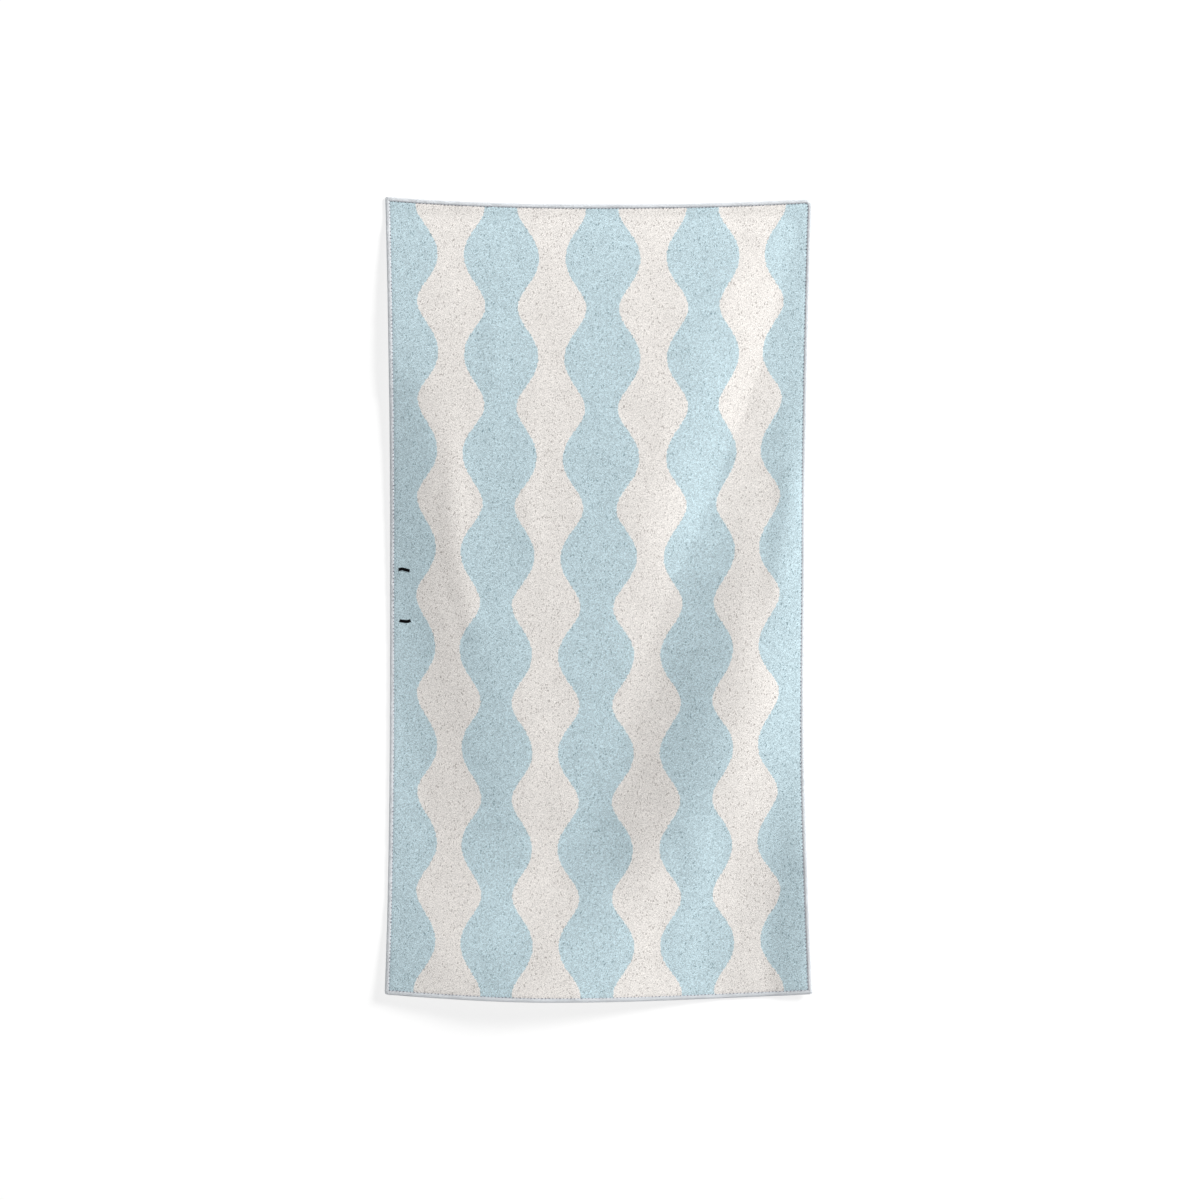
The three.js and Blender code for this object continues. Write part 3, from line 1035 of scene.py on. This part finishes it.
# Partly the needle thread's own grey, partly painted shade of the needle holes
grey_thread_with_painted_hole_shade = thread_material(
    "grey_thread_with_painted_hole_shade",
    low=(0.15, 0.15, 0.19, 1),
    high=(0.28, 0.28, 0.34, 1),
    turn_length=0.7 * MM,
    gloss=0.2,
    sheen=0.0,
)
on_the_face = edge_guide(WINDING_MIDDLE, "over", LOOPER_LIFT)
on_the_back = edge_guide(WINDING_MIDDLE, "under", -LOOPER_LIFT)
edge_thread = sew(
    guide_object("edge_thread", [on_the_face, on_the_back]),
    pale_thread,
    Stitch_Length=LOOP_LENGTH * MM,
    Points_per_Stitch=6,
    Swing=WINDING_SWING * MM,
    Drop_Outside=0.8 * MM,
    Drop_Inside=0.3 * MM,
    Thread_Width=LOOPER_THREAD * MM,
    Sides=4,
    Unevenness=0.07,
    Seed=11,
)
needle_thread = sew(
    guide_object("needle_thread", [edge_guide(NEEDLE_INSET, "over", -NEEDLE_DEPTH)]),
    grey_thread_with_painted_hole_shade,
    Stitch_Length=STITCH_LENGTH * MM,
    Points_per_Stitch=8,
    Swing=0.05 * MM,
    Drop_Outside=0.0,
    Drop_Inside=-NEEDLE_RISE * MM,
    Thread_Width=NEEDLE_THREAD * MM,
    Sides=5,
    Unevenness=0.45,
    Seed=12,
)
for thread in (edge_thread, needle_thread):
    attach(thread, "root")

# Two bar tacks. Short bars of dense black zigzag in sewing thread by the left edge, sewn through
# the cloth at mid height, so that the back shows the same bars. Sizes are in millimetres.
TACK_THREAD = 0.62
TACK_STROKE = 0.42
TACK_SWING = 1.3
TACK_POINTS = 23
FACE_LIFT = 0.3
BACK_LIFT = -0.2
TACKS = {
    "bar_tack_upper": ((-184.1, 26.7), (-180.9, 27.3), (-177.7, 26.4), (-174.3, 25.6)),
    "bar_tack_lower": ((-183.3, -20.4), (-179.9, -21.0), (-176.3, -21.3), (-173.6, -20.3)),
}
FIRST_TACK_SEED = 21


def back_height(x, y):
    """Height of the towel's underside at a place well inside its edges, seen from above."""
    return main_folds(x + middle_x, y + middle_y) + soft_creases(x + middle_x, y + middle_y)


def face_height(x, y):
    """Height of its face there."""
    return back_height(x, y) + PILE_HEIGHT + unevenness(x + middle_x, y + middle_y)


def tack_guide(path, height_at, lift):
    """A short line on the cloth, with the way across it and the way off the cloth."""
    path = np.array(path, float)
    runs = np.concatenate(([0], np.cumsum(np.linalg.norm(np.diff(path, axis=0), axis=1))))
    spaced = np.linspace(0, runs[-1], TACK_POINTS)
    x = np.interp(spaced, runs, path[:, 0])
    y = np.interp(spaced, runs, path[:, 1])
    z = height_at(x, y)
    slope_x = height_at(x + 1, y) - z
    slope_y = height_at(x, y + 1) - z
    normal = np.stack((-slope_x, -slope_y, np.ones_like(x)), axis=-1)
    normal /= np.linalg.norm(normal, axis=1, keepdims=True)
    points = np.stack((x, y, z), axis=-1) + normal * lift
    across = np.cross(normal, np.gradient(points, axis=0))
    across /= np.linalg.norm(across, axis=1, keepdims=True)
    return points * MM, across, normal * np.sign(lift), False


black_thread = thread_material(
    "black_thread",
    low=(0.001, 0.001, 0.0015, 1),
    high=(0.004, 0.004, 0.005, 1),
    turn_length=0.8 * MM,
    gloss=0.05,
    sheen=0.0,
)
bar_tacks = []
for name, path in TACKS.items():
    face_bar = tack_guide(path, face_height, FACE_LIFT)
    back_bar = tack_guide(path, back_height, BACK_LIFT)
    tack = sew(
        guide_object(name, [face_bar, back_bar]),
        black_thread,
        Stitch_Length=TACK_STROKE * MM,
        Points_per_Stitch=8,
        Swing=TACK_SWING * MM,
        Drop_Outside=0.4 * MM,
        Drop_Inside=0.4 * MM,
        Thread_Width=TACK_THREAD * MM,
        Sides=6,
        Unevenness=0.14,
        Seed=FIRST_TACK_SEED + len(bar_tacks),
    )
    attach(tack, "root")
    bar_tacks.append(tack)

# The studio: a plain pale floor that the towel lies on, one large soft light to the upper
# right, even light from all round, and the camera straight above.
FLOOR_HALF = 14.0
FLOOR_LEVEL = -0.0002
floor_corners = [
    (-FLOOR_HALF, -FLOOR_HALF, FLOOR_LEVEL),
    (FLOOR_HALF, -FLOOR_HALF, FLOOR_LEVEL),
    (FLOOR_HALF, FLOOR_HALF, FLOOR_LEVEL),
    (-FLOOR_HALF, FLOOR_HALF, FLOOR_LEVEL),
]
floor_mesh = bpy.data.meshes.new("floor")
floor_mesh.from_pydata(floor_corners, [], [(0, 1, 2, 3)])
floor = bpy.data.objects.new("floor", floor_mesh)
bpy.context.scene.collection.objects.link(floor)
floor_paint = bpy.data.materials.new("floor_paint")
floor_paint.use_nodes = True
floor_shader = floor_paint.node_tree.nodes["Principled BSDF"]
floor_shader.inputs["Base Color"].default_value = (0.32, 0.32, 0.32, 1)
floor_shader.inputs["Emission Color"].default_value = (1, 1, 1, 1)
floor_shader.inputs["Emission Strength"].default_value = 0.72
floor_shader.inputs["Roughness"].default_value = 0.9
floor_shader.inputs["Specular IOR Level"].default_value = 0.1
floor_mesh.materials.append(floor_paint)

studio = bpy.data.worlds.new("studio")
studio.use_nodes = True
all_round = studio.node_tree.nodes["Background"]
all_round.inputs["Color"].default_value = (0.985, 0.99, 1.0, 1)
all_round.inputs["Strength"].default_value = 0.432
bpy.context.scene.world = studio

KEY_WAY = Vector((0.7263, 0.4717, 0.5))
KEY_DISTANCE = 5.5
key = bpy.data.lights.new("key", "AREA")
key.shape = "SQUARE"
key.size = 1.9
key.energy = 421
key.color = (1.0, 0.995, 0.985)
key_light = bpy.data.objects.new("key", key)
key_light.location = KEY_WAY * KEY_DISTANCE
key_light.rotation_mode = "QUATERNION"
key_light.rotation_quaternion = KEY_WAY.to_track_quat("Z", "Y")
key_light.visible_camera = False
bpy.context.scene.collection.objects.link(key_light)

# The square view's side and middle, in metres, at a level just above the floor
VIEW_SIDE = 1.104
VIEW_LEVEL = 0.01
VIEW_MIDDLE = (0.0011, -0.0014)
lens = bpy.data.cameras.new("camera")
lens.lens = 110
lens.sensor_width = 36
lens.clip_end = 60
camera = bpy.data.objects.new("camera", lens)
camera.location = (*VIEW_MIDDLE, VIEW_LEVEL + VIEW_SIDE * lens.lens / lens.sensor_width)
bpy.context.scene.collection.objects.link(camera)
bpy.context.scene.camera = camera
bpy.context.scene.view_settings.view_transform = "Standard"
